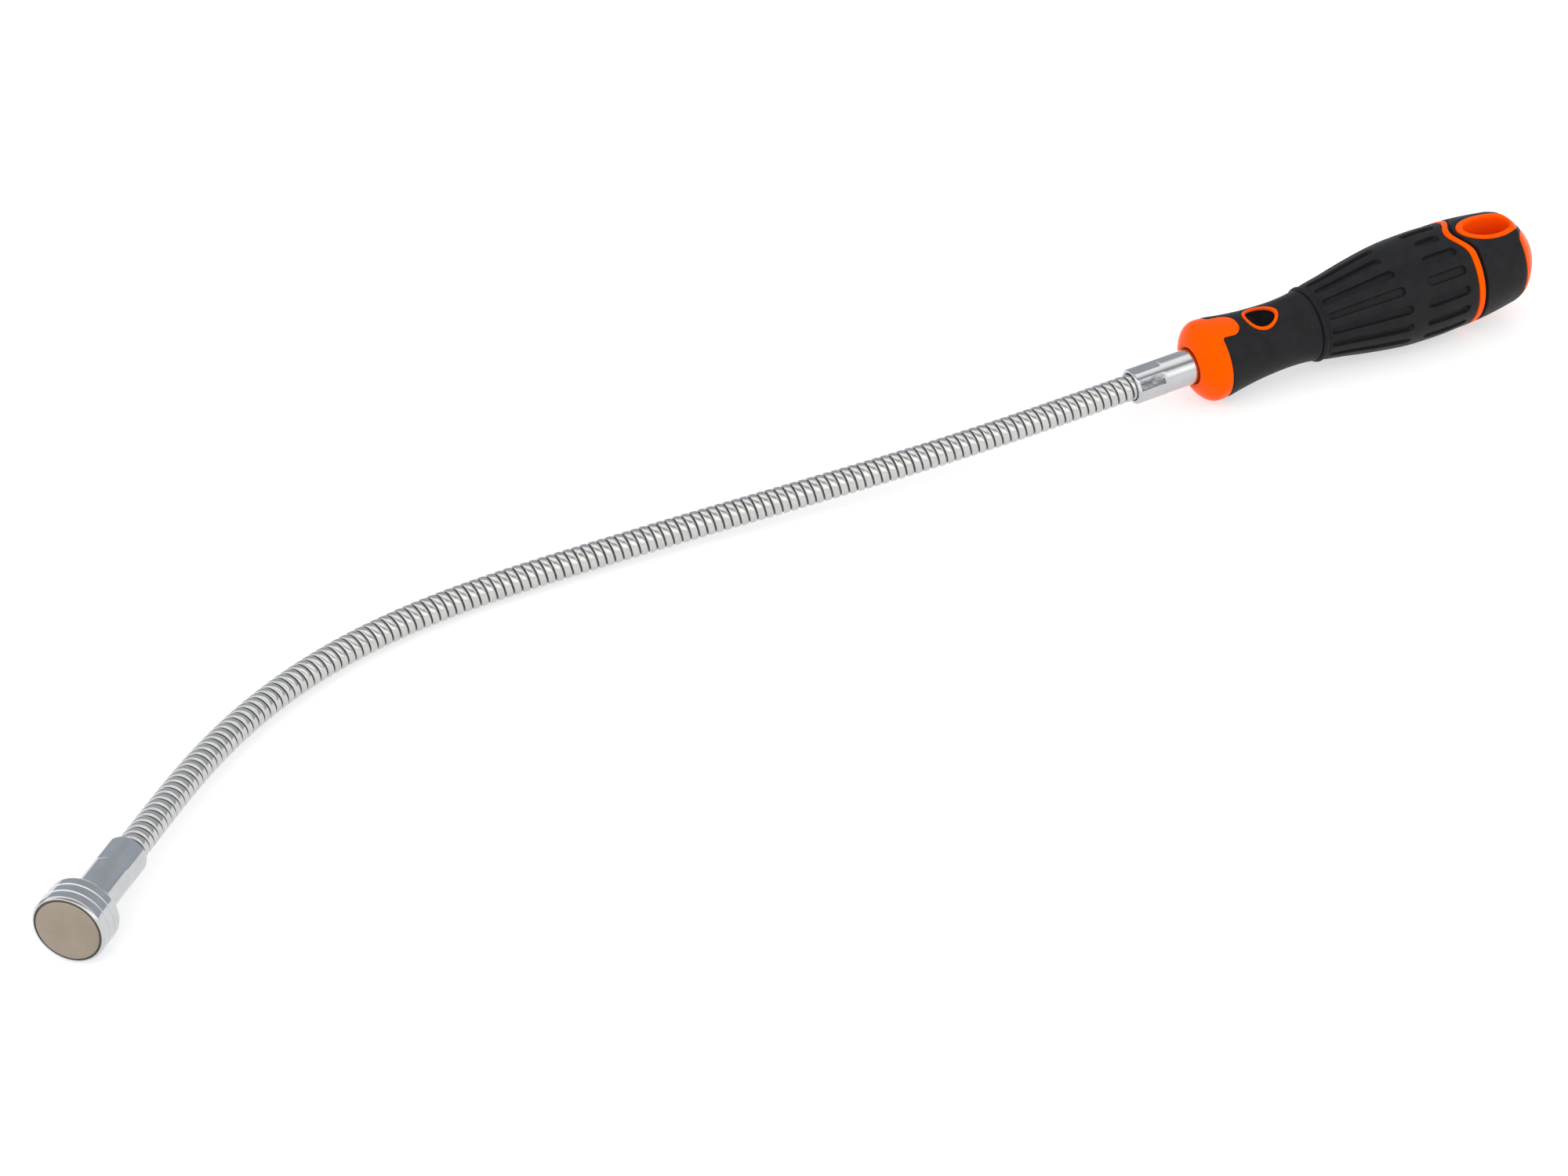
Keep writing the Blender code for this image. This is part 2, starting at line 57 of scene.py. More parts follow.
# Handle, in millimetres along its own axis from the start of the straight shaft
HANDLE_SLOPE = math.radians(3.05)
AXIS_HEIGHT = 11.43
HOLE_ROLL = math.radians(12.5)
NOSE_FACE_X = 26.0
NOSE_CREST_X = 31.7
NOSE_RING_END_X = 34.0
NOSE_RADIUS = 13.05
NOSE_ROOT_RADIUS = 6.9
LIP_X = 67.5
RIB_START_X = 121.3
RIB_END_X = 123.5
REAR_GRIP_END_X = 140.7
BUTT_START_X = 140.9
BUTT_TIP_X = 150.9
BUTT_RADIUS = 14.6
BUTT_POWER = 1.3
HANDLE_STATIONS = (
    (31.7, 13.05), (35.0, 12.9), (40.0, 12.1), (46.0, 11.35), (52.0, 10.93), (58.0, 10.78),
    (63.0, 11.0), (66.9, 11.5), (72.0, 12.5), (78.0, 13.5), (85.0, 14.85), (92.0, 16.0),
    (98.0, 16.8), (104.0, 17.2), (111.0, 17.33), (117.0, 17.12), (124.0, 16.9), (129.0, 16.5),
    (134.0, 15.9), (137.0, 15.45), (139.0, 15.15), (140.9, 14.6),
)
DIP_DEPTH = 3.8
DIP_HALF_ANGLE = math.radians(32.0)
BULGE_DEPTH = 5.9
BULGE_HALF_ANGLE = math.radians(36.0)

# Ferrule, neck and head
FERRULE_FRONT_X = 5.06
NECK_ARC = 357.0
JOINT_COUNT = 20
JOINT_SPACING = (NECK_ARC + FERRULE_FRONT_X) / JOINT_COUNT
FIRST_JOINT_ARC = JOINT_SPACING / 2.0 - FERRULE_FRONT_X
BOW_ANGLE = 51.2
BOW_START_ARC = 177.3
BOW_END_ARC = 347.2
DRIFT_ANGLE = -4.2
DRIFT_END_ARC = 203.9
HEAD_TILT = 3.2
RISE_POWER = 1.464
STUB_LENGTH = 12.0
TURN_PITCH = 2.66


# ---------------------------------------------------------------- numbers and curves

def clamp01(value):
    return np.clip(value, 0.0, 1.0)


def smooth(value, low, high):
    """0 below low and 1 above high, with an even curve between."""
    t = clamp01((value - low) / (high - low))
    return t * t * (3.0 - 2.0 * t)


def curve_through(stations, x):
    """The same smooth curve through the stations as the CAD uses, for an array of x."""
    table = np.array(stations)
    index = np.clip(np.searchsorted(table[:, 0], x) - 1, 0, len(table) - 2)
    start, end = table[index], table[index + 1]
    before, after = table[np.maximum(index - 1, 0)], table[np.minimum(index + 2, len(table) - 1)]
    span = end[..., 0] - start[..., 0]
    t = clamp01((x - start[..., 0]) / span)
    slope_start = (end[..., 1] - before[..., 1]) / (end[..., 0] - before[..., 0]) * span
    slope_end = (after[..., 1] - start[..., 1]) / (after[..., 0] - start[..., 0]) * span
    return ((2 * t**3 - 3 * t**2 + 1) * start[..., 1] + (t**3 - 2 * t**2 + t) * slope_start
            + (3 * t**2 - 2 * t**3) * end[..., 1] + (t**3 - t**2) * slope_end)


def handle_radius(x):
    """Radius of the handle's skin; the butt's blunt dome takes over behind the rear grip."""
    x = np.asarray(x, float)
    reach = clamp01((x - BUTT_START_X) / (BUTT_TIP_X - BUTT_START_X))
    butt = BUTT_RADIUS * (1.0 - reach**BUTT_POWER) ** (1.0 / BUTT_POWER)
    return np.where(x < BUTT_START_X, curve_through(HANDLE_STATIONS, x), butt)


def near_hole(theta, half_angle):
    """1 in line with either mouth of the hanging hole, falling to 0 at half_angle beside it."""
    away = np.abs((theta + math.pi / 2) % math.pi - math.pi / 2) / half_angle
    return np.cos(np.minimum(away, 1.0) * math.pi / 2) ** 2


def dip(theta):
    """How far the rear seam moves forward around the hanging hole, at an angle from the top."""
    return -DIP_DEPTH * near_hole(theta, DIP_HALF_ANGLE)


def bulge(theta):
    """How far the rear grip's back edge moves back past the hanging hole."""
    return BULGE_DEPTH * near_hole(theta, BULGE_HALF_ANGLE)


def neck_direction(arc):
    """Unit direction of the neck's centre line, from the handle toward the head."""
    if arc <= 0.0:
        heading, climb = 0.0, -HANDLE_SLOPE
    else:
        t = min(max((arc - BOW_START_ARC) / (BOW_END_ARC - BOW_START_ARC), 0.0), 1.0)
        heading = math.radians(BOW_ANGLE) * t * t * (3.0 - 2.0 * t)
        if arc < DRIFT_END_ARC:
            heading += math.radians(DRIFT_ANGLE) * math.sin(math.pi * arc / DRIFT_END_ARC) ** 2
        rise = math.radians(HEAD_TILT) + HANDLE_SLOPE
        climb = -HANDLE_SLOPE + rise * min(arc / NECK_ARC, 1.0) ** RISE_POWER
    return np.array((-math.cos(climb) * math.cos(heading),
                     -math.cos(climb) * math.sin(heading),
                     math.sin(climb)))


PATH_STEP = 0.5
PATH_RUN_ON = 40.0
PATH_ARCS = np.arange(-PATH_RUN_ON, NECK_ARC + PATH_RUN_ON + PATH_STEP / 2, PATH_STEP)


def build_path():
    """Points of the neck's centre line every half millimetre, with the straight ends run on."""
    zero = int(round(PATH_RUN_ON / PATH_STEP))
    last = zero + int(round(NECK_ARC / PATH_STEP))
    end_direction = neck_direction(NECK_ARC)
    points = np.zeros((len(PATH_ARCS), 3))
    points[zero] = (0.0, 0.0, AXIS_HEIGHT)
    for i in range(zero - 1, -1, -1):
        points[i] = points[i + 1] - neck_direction(0.0) * PATH_STEP
    for i in range(zero + 1, len(PATH_ARCS)):
        middle = PATH_ARCS[i] - PATH_STEP / 2
        direction = neck_direction(middle) if i <= last else end_direction
        points[i] = points[i - 1] + direction * PATH_STEP
    return points


PATH = build_path()


def path_point(arc):
    """Point of the neck's centre line at a distance along it from the handle."""
    arc = np.asarray(arc, float)
    return np.stack([np.interp(arc, PATH_ARCS, PATH[:, k]) for k in range(3)], -1)


# The CAD frame has its origin under the middle of the tool: the first joint's place says where
SHIFT = np.array(frame["joints"][0]["pos_m"]) / MM - path_point(FIRST_JOINT_ARC)


def handle_to_row(points):
    """Handle coordinates (x along its axis, z toward the hanging hole's mouth) to the row frame."""
    roll = np.array(Matrix.Rotation(HOLE_ROLL, 3, 'X'))
    slope = np.array(Matrix.Rotation(-HANDLE_SLOPE, 3, 'Y'))
    return points @ (slope @ roll).T + np.array((0.0, 0.0, AXIS_HEIGHT)) + SHIFT


def on_handle(x, theta, radius):
    """Point in handle coordinates, at an angle round the axis from the top."""
    return np.stack([x, -radius * np.sin(theta), radius * np.cos(theta)], -1)


# ---------------------------------------------------------------- meshes

def make_object(name, points, faces, material):
    """Mesh object from points in millimetres in the row frame."""
    mesh = bpy.data.meshes.new(name)
    mesh.from_pydata((np.asarray(points) * MM).tolist(), [], faces)
    mesh.validate()
    mesh.update()
    mesh.materials.append(material)
    item = bpy.data.objects.new(name, mesh)
    bpy.context.collection.objects.link(item)
    return item


class Shell:
    """Gathers patches of points and faces that become one piece."""

    def __init__(self):
        self.points = []
        self.faces = []
        self.count = 0

    def add(self, points, faces):
        self.points.append(np.asarray(points).reshape(-1, 3))
        self.faces += [[v + self.count for v in face] for face in faces]
        self.count += len(self.points[-1])

    def grid(self, rows, wrap_rows=False, caps=False):
        """Quads between closed rows of points; wrap_rows joins the last row to the first."""
        rows = np.asarray(rows)
        n, m = rows.shape[:2]
        i, j = np.meshgrid(np.arange(n if wrap_rows else n - 1), np.arange(m), indexing="ij")
        i2, j2 = (i + 1) % n, (j + 1) % m
        quads = np.stack([i * m + j, i * m + j2, i2 * m + j2, i2 * m + j], -1).reshape(-1, 4)
        faces = quads.tolist()
        if caps:
            faces.append(list(range(m))[::-1])
            faces.append([(n - 1) * m + k for k in range(m)])
        self.add(rows, faces)

    def cut_grid(self, points, keep):
        """The part of a grid where keep is positive, cut along the line where it is zero."""
        n, m = keep.shape
        i, j = np.meshgrid(np.arange(n - 1), np.arange(m), indexing="ij")
        i, j = i.ravel(), j.ravel()
        j2 = (j + 1) % m
        corners = np.stack([i * m + j, i * m + j2, (i + 1) * m + j2, (i + 1) * m + j], -1)
        level, flat = keep.ravel(), points.reshape(-1, 3)
        kept = (level[corners] > 0.0).sum(1)
        faces = corners[kept == 4].tolist()
        crossings, extra = {}, []
        for corner in corners[(kept > 0) & (kept < 4)].tolist():
            face = []
            for a, b in zip(corner, corner[1:] + corner[:1]):
                if level[a] > 0.0:
                    face.append(a)
                if (level[a] > 0.0) == (level[b] > 0.0):
                    continue
                edge = (min(a, b), max(a, b))
                if edge not in crossings:
                    t = level[edge[0]] / (level[edge[0]] - level[edge[1]])
                    crossings[edge] = len(flat) + len(extra)
                    extra.append(flat[edge[0]] + (flat[edge[1]] - flat[edge[0]]) * t)
                face.append(crossings[edge])
            faces.append(face)
        everything = np.concatenate([flat, np.array(extra).reshape(-1, 3)])
        used = np.unique([v for face in faces for v in face])
        number = np.zeros(len(everything), int)
        number[used] = np.arange(len(used))
        self.add(everything[used], [number[face].tolist() for face in faces])

    def make(self, name, material, to_row=None, thickness=0.0, sharp_angle=40.0):
        """The finished object, with its points taken to the row frame by to_row."""
        points = np.concatenate(self.points)
        if to_row is not None:
            points = to_row(points)
        item = make_object(name, points, self.faces, material)
        face_outward(item)
        if thickness > 0.0:
            thicken(item, thickness)
        item.data.shade_smooth()
        item.data.set_sharp_from_angle(angle=math.radians(sharp_angle))
        return item


def face_outward(item):
    bm = bmesh.new()
    bm.from_mesh(item.data)
    bmesh.ops.recalc_face_normals(bm, faces=bm.faces)
    bm.to_mesh(item.data)
    bm.free()


def thicken(item, thickness):
    """Gives an open skin a wall, inward from its outer face."""
    modifier = item.modifiers.new("wall", 'SOLIDIFY')
    modifier.thickness = thickness * MM
    modifier.offset = -1.0
    modifier.use_rim = True
    evaluated = item.evaluated_get(bpy.context.evaluated_depsgraph_get())
    mesh = bpy.data.meshes.new_from_object(evaluated)
    item.modifiers.clear()
    old = item.data
    item.data = mesh
    bpy.data.meshes.remove(old)


def turned_rows(outline, segments, shape=None):
    """Rows of points for a solid of revolution about X."""
    theta = np.arange(segments) * TAU / segments
    rows = []
    for x, radius in outline:
        xs, rs = np.full(segments, float(x)), np.full(segments, float(radius))
        if shape:
            xs, rs = shape(xs, rs, theta)
        rows.append(on_handle(xs, theta, rs))
    return np.array(rows)


def rounded(corners, radius, steps=5):
    """Outline with its inner corners rounded."""
    corners = [np.array(c, float) for c in corners]
    result = [tuple(corners[0])]
    for before, corner, after in zip(corners, corners[1:], corners[2:]):
        a, b = before - corner, after - corner
        la, lb = np.linalg.norm(a), np.linalg.norm(b)
        cut = min(radius, la * 0.45, lb * 0.45)
        p, q = corner + a / la * cut, corner + b / lb * cut
        for t in np.linspace(0.0, 1.0, steps):
            point = (1 - t) ** 2 * p + 2 * t * (1 - t) * corner + t**2 * q
            result.append((float(point[0]), float(point[1])))
    result.append(tuple(corners[-1]))
    return result


# ---------------------------------------------------------------- materials

# Noise values that reach the two ends of a colour or roughness range
NOISE_LOW = 0.3
NOISE_HIGH = 0.7


class Looks:
    """A small helper that wires one material's nodes."""

    def __init__(self, name, colour, metallic, roughness):
        self.material = bpy.data.materials.new(name)
        self.material.use_nodes = True
        self.tree = self.material.node_tree
        self.shader = self.tree.nodes["Principled BSDF"]
        self.set("Base Color", (*colour, 1.0))
        self.set("Metallic", metallic)
        self.set("Roughness", roughness)
        self.place = self.tree.nodes.new("ShaderNodeTexCoord").outputs["Object"]
        self.normal = None

    def set(self, socket, value):
        self.shader.inputs[socket].default_value = value

    def link(self, source, target):
        self.tree.links.new(source, target)

    def stretched(self, scale):
        """Object coordinates scaled by axis, for streaks that run one way."""
        mapping = self.tree.nodes.new("ShaderNodeMapping")
        mapping.inputs["Scale"].default_value = scale
        self.link(self.place, mapping.inputs["Vector"])
        return mapping.outputs["Vector"]

    def noise(self, scale, detail=3.0, roughness=0.55, vector=None):
        node = self.tree.nodes.new("ShaderNodeTexNoise")
        node.inputs["Scale"].default_value = scale
        node.inputs["Detail"].default_value = detail
        node.inputs["Roughness"].default_value = roughness
        self.link(vector or self.place, node.inputs["Vector"])
        return node.outputs["Fac"]

    def cells(self, scale):
        node = self.tree.nodes.new("ShaderNodeTexVoronoi")
        node.inputs["Scale"].default_value = scale
        self.link(self.place, node.inputs["Vector"])
        return node.outputs["Distance"]

    def spread(self, value, low, high):
        node = self.tree.nodes.new("ShaderNodeMapRange")
        node.inputs["From Min"].default_value = NOISE_LOW
        node.inputs["From Max"].default_value = NOISE_HIGH
        node.inputs["To Min"].default_value = low
        node.inputs["To Max"].default_value = high
        self.link(value, node.inputs["Value"])
        return node.outputs["Result"]

    def colours(self, value, dark, light, from_low=NOISE_LOW, from_high=NOISE_HIGH):
        """Base colour between dark and light, as value goes from low to high."""
        node = self.tree.nodes.new("ShaderNodeValToRGB")
        node.color_ramp.elements[0].position = from_low
        node.color_ramp.elements[1].position = from_high
        node.color_ramp.elements[0].color = (*dark, 1.0)
        node.color_ramp.elements[1].color = (*light, 1.0)
        self.link(value, node.inputs["Fac"])
        self.link(node.outputs["Color"], self.shader.inputs["Base Color"])

    def rough(self, value, low, high):
        """Roughness between low and high, as value does."""
        self.link(self.spread(value, low, high), self.shader.inputs["Roughness"])

    def bump(self, value, height_mm, strength=1.0):
        """Adds a fine relief; several of them stack."""
        node = self.tree.nodes.new("ShaderNodeBump")
        node.inputs["Distance"].default_value = height_mm * MM
        node.inputs["Strength"].default_value = strength
        self.link(value, node.inputs["Height"])
        if self.normal is not None:
            self.link(self.normal, node.inputs["Normal"])
        self.normal = node.outputs["Normal"]
        self.link(self.normal, self.shader.inputs["Normal"])


def orange_look():
    look = Looks("orange_plastic", (0.9, 0.085, 0.0), 0.0, 0.25)
    look.colours(look.noise(45.0), (0.87, 0.081, 0.0), (0.92, 0.089, 0.0))
    look.rough(look.noise(600.0), 0.24, 0.34)
    look.bump(look.noise(900.0, 2.0), 0.003)
    look.set("Specular IOR Level", 0.06)
    look.set("Specular Tint", (1.0, 0.4, 0.05, 1.0))
    return look.material


def grip_look():
    look = Looks("black_grip", (0.012, 0.012, 0.013), 0.0, 0.6)
    look.colours(look.noise(260.0, 6.0), (0.0080, 0.0080, 0.0092), (0.0125, 0.0125, 0.0140))
    look.rough(look.noise(1400.0, 4.0), 0.42, 0.58)
    look.bump(look.cells(5200.0), 0.015, 0.6)
    look.bump(look.noise(2600.0, 3.0), 0.02, 0.7)
    look.set("Specular IOR Level", 0.12)
    return look.material


def gloss_black_look():
    look = Looks("black_gloss", (0.0015, 0.0015, 0.002), 0.0, 0.12)
    look.colours(look.noise(300.0), (0.001, 0.001, 0.0012), (0.003, 0.003, 0.0035))
    look.rough(look.noise(700.0), 0.2, 0.32)
    look.bump(look.noise(1200.0), 0.008)
    look.set("Specular IOR Level", 0.04)
    return look.material


def chrome_look():
    look = Looks("chrome", (0.51, 0.52, 0.53), 1.0, 0.14)
    look.colours(look.noise(180.0, 5.0), (0.49, 0.50, 0.51), (0.54, 0.55, 0.56))
    look.rough(look.noise(900.0, 5.0), 0.08, 0.14)
    look.bump(look.noise(1500.0, 4.0), 0.002)
    return look.material


def painted_reflection_look():
    """Every other crimped flat: a little rougher than the tube; its darker, bluish colour with
    streaks along it is painted dark reflection.
    """
    look = Looks("chrome_painted_reflection", (0.25, 0.26, 0.27), 1.0, 0.2)
    streaks = look.noise(1.0, 4.0, 0.6, look.stretched((260.0, 800.0, 800.0)))
    # Darker, bluish streaked colour: painted dark reflection
    look.colours(streaks, (0.12, 0.125, 0.135), (0.36, 0.37, 0.39), 0.4, 0.62)
    look.rough(look.noise(900.0, 4.0), 0.12, 0.22)
    look.bump(streaks, 0.012)
    return look.material


def wrap_look():
    look = Looks("neck_wrap_steel", (0.55, 0.55, 0.545), 1.0, 0.2)
    look.colours(look.noise(350.0, 5.0), (0.51, 0.51, 0.50), (0.58, 0.58, 0.57))
    look.rough(look.noise(1300.0, 5.0), 0.12, 0.2)
    look.bump(look.noise(2400.0, 3.0), 0.003)
    return look.material


def spring_look():
    look = Looks("neck_spring_steel", (0.12, 0.12, 0.12), 1.0, 0.4)
    look.colours(look.noise(800.0, 4.0), (0.07, 0.07, 0.07), (0.17, 0.17, 0.165))
    look.rough(look.noise(1500.0), 0.32, 0.5)
    look.bump(look.noise(3000.0), 0.008)
    return look.material


def shank_look():
    look = Looks("shank_steel", (0.4, 0.4, 0.4), 1.0, 0.35)
    look.colours(look.noise(500.0, 4.0), (0.33, 0.33, 0.33), (0.47, 0.47, 0.46))
    look.rough(look.noise(1200.0), 0.28, 0.42)
    look.bump(look.noise(2500.0), 0.006)
    return look.material


def sleeve_look():
    look = Looks("sleeve_resin", (0.07, 0.062, 0.05), 0.0, 0.5)
    look.colours(look.noise(500.0), (0.055, 0.05, 0.04), (0.085, 0.075, 0.06))
    look.rough(look.noise(900.0), 0.4, 0.6)
    look.bump(look.noise(2500.0), 0.005)
    return look.material


def magnet_look():
    look = Looks("magnet_nickel", (0.30, 0.255, 0.2), 0.75, 0.42)
    look.colours(look.noise(70.0, 4.0), (0.27, 0.23, 0.18), (0.335, 0.285, 0.225))
    look.rough(look.noise(900.0, 6.0), 0.36, 0.5)
    look.bump(look.noise(2200.0, 5.0), 0.008)
    return look.material


# ---------------------------------------------------------------- handle shapes

HOLE_CENTRE_X = 133.2
HOLE_OUTER = (11.1, 6.1)
HOLE_INNER = (8.4, 4.3)
WINDOW_CENTRE_X = 50.2
WINDOW_OUTER = (5.3, 6.3, 5.4)
WINDOW_INNER = (4.3, 5.15, 4.4)
WINDOW_POWERS = (2.3, 1.75)
TAB_END_X = 41.8
TAB_HALF_WIDTH = 4.9
TAB_CORNER = 4.1
TAB_FILLET = 1.2
FLUTE_COUNT = 16
FLUTE_DEPTH = 1.1
FLUTE_SHARE = 0.235
FLUTE_WALL = 0.3
FLUTE_SHIFT_ANGLE = math.radians(70.0)
LONG_FLUTE_START_X = 70.2
LONG_FLUTE_END_X = 93.6
LONG_FLUTE_END_SHIFT = 3.8
SHORT_FLUTE_START_X = 106.4
SHORT_FLUTE_START_SHIFT = -4.3
SHORT_FLUTE_END_X = 117.9
SHORT_FLUTE_DIP_SHARE = 0.75
SEAM = 0.1
GRID_STEP = 0.27
GRIP_THICKNESS = 1.2
REAR_GROOVE_DEPTH = 1.2


def signed_distance(level, x, y, step=1e-3):
    """Distance outside the closed curve level(x, y) = 1, good close to the curve."""
    value = level(x, y)
    along = (level(x + step, y) - value) / step
    across = (level(x, y + step) - value) / step
    return (value - 1.0) / np.maximum(np.hypot(along, across), 1e-3)


def hole_level(half_sizes):
    """Oval of the hanging hole's mouth."""
    def level(x, y):
        return np.hypot((x - HOLE_CENTRE_X) / half_sizes[0], y / half_sizes[1])
    return level


def window_level(half_sizes):
    """Rounded triangle: broad toward the nose, narrower toward the belly."""
    def level(x, y):
        ahead = x < WINDOW_CENTRE_X
        length = np.where(ahead, half_sizes[0], half_sizes[1])
        power = np.where(ahead, WINDOW_POWERS[0], WINDOW_POWERS[1])
        u, v = np.abs(x - WINDOW_CENTRE_X) / length, np.abs(y) / half_sizes[2]
        return (u**power + v**power) ** (1.0 / power)
    return level


def level_curve(level, centre_x, angle, offset=0.0):
    """Points (x, y) where the ray at each angle from the centre meets level = 1."""
    reach = np.ones_like(angle)
    for _ in range(30):
        reach = reach / level(centre_x + reach * np.cos(angle), reach * np.sin(angle))
    reach = reach + offset
    return centre_x + reach * np.cos(angle), reach * np.sin(angle)


def edge_roll(distance, depth=0.3, reach=0.6):
    """How far a soft edge drops as it nears a seam."""
    return depth * (1.0 - clamp01(distance / reach)) ** 2


def seam_distance(x, theta):
    """Distance behind the nose ring's rear edge and round its tab: negative on the ring."""
    y = np.abs(handle_radius(x) * np.sin(theta))
    dx, dy = x - (TAB_END_X - TAB_CORNER), y - (TAB_HALF_WIDTH - TAB_CORNER)
    tab = np.hypot(np.maximum(dx, 0.0), np.maximum(dy, 0.0))
    tab = tab + np.minimum(np.maximum(dx, dy), 0.0) - TAB_CORNER
    ring = x - NOSE_RING_END_X
    joined = np.maximum(TAB_FILLET, np.minimum(ring, tab)) - np.hypot(
        np.maximum(TAB_FILLET - ring, 0.0), np.maximum(TAB_FILLET - tab, 0.0))
    return np.where(np.cos(theta) > 0.0, joined, ring)


def skin_grid(x_values, count):
    """Grids of x and angle over the handle, with the angles starting from the underside."""
    theta = -math.pi + np.arange(count) * TAU / count
    return np.meshgrid(x_values, theta, indexing="ij")


def columns_for(radius):
    """How many columns of the skin grid keep its step at a radius."""
    return int(TAU * radius / GRID_STEP)


def build_front_grip(material):
    """Soft sleeve behind the nose ring, with the window opening cut in it."""
    start, end = NOSE_RING_END_X - 0.2, LIP_X + 0.4
    rows = int((end - start) / GRID_STEP)
    x, theta = skin_grid(np.linspace(start, end, rows), columns_for(12.0))
    base = handle_radius(x)
    seam = seam_distance(x, theta) - SEAM
    window = signed_distance(window_level(WINDOW_OUTER), x, base * np.sin(theta)) - SEAM
    window = np.where(np.cos(theta) > 0.0, window, 99.0)
    keep = np.minimum(seam, window)
    radius = base - edge_roll(keep) - edge_roll(end - x, 0.7, 1.4)
    shell = Shell()
    shell.cut_grid(on_handle(x, theta, radius), keep)
    return shell.make("front_grip", material, handle_to_row, thickness=GRIP_THICKNESS)


def flute_depth(x, theta):
    """Depth of the recessed flutes: long ones ahead of a plain band, short ones behind it."""
    pitch = TAU / FLUTE_COUNT
    number = np.round(theta / pitch)
    middle = number * pitch
    across = np.abs(theta - middle) * handle_radius(x)
    from_top = np.abs((middle + math.pi) % TAU - math.pi)
    share = np.minimum(from_top / FLUTE_SHIFT_ANGLE, 1.0)
    long_end = LONG_FLUTE_END_X + LONG_FLUTE_END_SHIFT * share
    short_start = SHORT_FLUTE_START_X + SHORT_FLUTE_START_SHIFT * share
    short_end = SHORT_FLUTE_END_X + dip(middle) * SHORT_FLUTE_DIP_SHARE
    half = FLUTE_SHARE * pitch * handle_radius(x)
    along_long = np.maximum(LONG_FLUTE_START_X + half - x, x - (long_end - half))
    along_short = np.maximum(short_start + half - x, x - (short_end - half))
    along = np.minimum(along_long, along_short)
    outside = np.where(along > 0.0, np.hypot(along, across), across) - half
    return FLUTE_DEPTH * (1.0 - smooth(outside, -FLUTE_WALL, 0.0))


def flute_columns():
    """Angles round the belly, closer together at the two walls of every flute."""
    half_pitch = np.concatenate([np.linspace(0.0, 0.19, 5), np.linspace(0.205, 0.245, 7),
                                 np.linspace(0.27, 0.47, 5)])
    shares = np.concatenate([-half_pitch[::-1], half_pitch[1:]])
    return np.concatenate([(number + shares) * TAU / FLUTE_COUNT for number in range(FLUTE_COUNT)])


BEAD_END_X = 69.0
BEAD_HEIGHT = 0.75
BEAD_SET_IN = 0.2
BEAD_GROOVE = 0.35


def build_main_grip(material):
    """Fluted belly with a rolled bead at its front edge."""
    theta = flute_columns()
    count = len(theta)
    end = RIB_START_X - SEAM + dip(theta)
    steps = np.concatenate([np.linspace(0.0, 0.035, 14), np.linspace(0.038, 0.985, 230),
                            np.linspace(0.988, 1.0, 6)])
    front = float(handle_radius(LIP_X))
    rows = [on_handle(np.full(count, LIP_X + 0.5), theta, np.full(count, inner))
            for inner in (front - 1.4, front - 0.4)]
    bead_middle = (LIP_X + BEAD_END_X) / 2.0
    for t in steps:
        x = LIP_X + t * (end - LIP_X)
        across = (x - bead_middle) / (BEAD_END_X - LIP_X) * 2.0
        bead = BEAD_HEIGHT * np.sqrt(clamp01(1.0 - across**2))
        crest = handle_radius(x) - BEAD_SET_IN + bead
        skin = handle_radius(x) - BEAD_GROOVE * (1.0 - smooth(x, BEAD_END_X, BEAD_END_X + 1.2))
        radius = np.where(x < bead_middle, crest, np.maximum(skin, crest))
        radius = radius - edge_roll(end - x, 0.3, 0.6) - flute_depth(x, theta)
        rows.append(on_handle(x, theta, radius))
    for back, drop in ((0.0, 1.2), (6.0, 1.2), (25.0, 1.6)):
        x = end - back
        rows.append(on_handle(x, theta, handle_radius(x) - drop))
    rows.append(on_handle(np.full(count, LIP_X + 4.0), theta, np.full(count, front - 1.5)))
    shell = Shell()
    shell.grid(rows, wrap_rows=True)
    return shell.make("main_grip", material, handle_to_row)


def build_rear_grip(material):
    """Collar round the hanging hole, with a dark groove along the seam line."""
    t, theta = skin_grid(np.linspace(0.0, 1.0, 110), columns_for(16.0))
    start = RIB_END_X + SEAM + dip(theta)
    x = start + t * (REAR_GRIP_END_X + bulge(theta) - start)
    base = handle_radius(x)
    hole = signed_distance(hole_level(HOLE_OUTER), x, base * np.sin(theta)) - SEAM
    groove = REAR_GROOVE_DEPTH * (1.0 - smooth(x - start, 0.7, 1.2))
    back = REAR_GRIP_END_X + bulge(theta) - x
    radius = base - np.maximum(edge_roll(hole) + edge_roll(back, 0.25, 0.6), groove)
    shell = Shell()
    shell.cut_grid(on_handle(x, theta, radius), hole)
    return shell.make("rear_grip", material, handle_to_row, thickness=GRIP_THICKNESS)


def surface_height(x, y, lift=0.0):
    """Height over the handle's axis of its skin at (x, y)."""
    radius = handle_radius(x) + lift
    return np.sqrt(np.maximum(radius**2 - y**2, 0.0))


